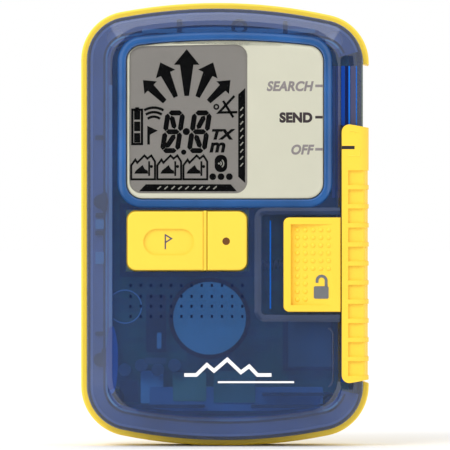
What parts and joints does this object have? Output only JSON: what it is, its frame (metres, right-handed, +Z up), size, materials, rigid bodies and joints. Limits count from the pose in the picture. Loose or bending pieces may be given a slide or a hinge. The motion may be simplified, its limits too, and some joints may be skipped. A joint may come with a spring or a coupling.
{
  "type": "avalanche transceiver",
  "caption": "Hand-held avalanche beacon: see-through cover in a rimmed rear case, display window, push keys, ribbed side slide switch with a sprung lock button, and a rear battery door.",
  "frame": {"origin": "under the middle of the case, on the surface that it stands on", "axes": "+Z up the case towards the top of the display, the display faces -Y, the slide switch is on the +X side"},
  "size_m": [0.0768, 0.029, 0.118],
  "materials": {
    "yellow_plastic": "satin moulded",
    "yellow_key": "satin moulded",
    "clear_blue_plastic": "see-through, polished",
    "seal_rubber": "matt",
    "steel": "bright",
    "brass": "machined",
    "clear_lens": "polished",
    "printed_panel": "printed",
    "lcd": "polished",
    "dark_plastic": "moulded",
    "sounder_blue": "moulded",
    "dark_ring": "matt",
    "circuit_board": "solder mask",
    "chip": "moulded",
    "aluminium_can": "bright",
    "ferrite": "sintered",
    "copper_wire": "enamelled",
    "battery_can": "gloss",
    "light_pipe": "polished",
    "black_plastic": "moulded"
  },
  "bodies": {
    "housing": {"rear_case": "yellow_plastic", "front_cover": "clear_blue_plastic", "perimeter_seal": "seal_rubber", "case_screws": "steel", "threaded_inserts": "brass", "lanyard_pin": "steel", "display_lens": "clear_lens", "display_panel": "printed_panel", "lcd_glass": "lcd", "lcd_holder": "dark_plastic", "lcd_connector_strip": "seal_rubber", "keypad_mat": "seal_rubber", "key_switches": "dark_plastic", "status_led": "light_pipe", "detent_spring": "steel", "lock_spring_post": "dark_plastic", "lock_spring": "steel", "sounder": "sounder_blue", "sounder_ring": "dark_ring", "main_board": "circuit_board", "processor": "chip", "radio_shield": "steel", "radio_chip": "chip", "wireless_module": "steel", "crystal": "steel", "capacitors": "aluminium_can", "switch_sensors": "chip", "board_spacers": "dark_plastic", "antenna_x_core": "ferrite", "antenna_x_coil": "copper_wire", "antenna_y_core": "ferrite", "antenna_y_coil": "copper_wire", "antenna_z_core": "ferrite", "antenna_z_coil": "copper_wire", "battery_cell_1": "battery_can", "battery_cell_2": "battery_can", "battery_cell_3": "battery_can", "contact_springs": "steel", "contact_plate_bottom": "steel", "contact_plate_top": "steel", "door_screw_insert": "brass"},
    "slider": {"slide_switch": "yellow_plastic", "slide_marker": "black_plastic", "slide_retainer": "dark_plastic", "slide_magnet": "steel"},
    "lock": {"lock_button": "yellow_plastic", "lock_retainer": "dark_plastic"},
    "mark_button": {"mark_key": "yellow_key"},
    "light_button": {"light_key": "yellow_key", "key_light_window": "light_pipe"},
    "door": {"battery_door": "yellow_plastic", "door_seal": "seal_rubber"},
    "door_fastener": {"door_screw": "steel", "screw_clip": "steel"}
  },
  "joints": [
    {"name": "slide_switch_travel", "type": "slide", "parent": "housing", "child": "slider", "axis": [0, 0, 1], "range_m": [0, 0.0164]},
    {"name": "lock_release", "type": "slide", "parent": "housing", "child": "lock", "axis": [-1, 0, 0], "range_m": [0, 0.0035], "stiffness_N_per_m": 600, "springref_m": -0.002, "deforming": ["lock_spring"]},
    {"name": "mark_key_press", "type": "slide", "parent": "housing", "child": "mark_button", "axis": [0, 1, 0], "range_m": [0, 0.0006], "stiffness_N_per_m": 1500, "springref_m": -0.0005},
    {"name": "light_key_press", "type": "slide", "parent": "housing", "child": "light_button", "axis": [0, 1, 0], "range_m": [0, 0.0006], "stiffness_N_per_m": 1500, "springref_m": -0.0005},
    {"name": "battery_door_swing", "type": "hinge", "parent": "housing", "child": "door", "pos_m": [0, 0.0137, 0.008], "axis": [-1, 0, 0], "range_deg": [0, 100]},
    {"name": "door_screw_turn", "type": "hinge", "parent": "door", "child": "door_fastener", "pos_m": [0, 0.014, 0.0623], "axis": [0, 1, 0], "range_deg": [0, 90]}
  ]
}
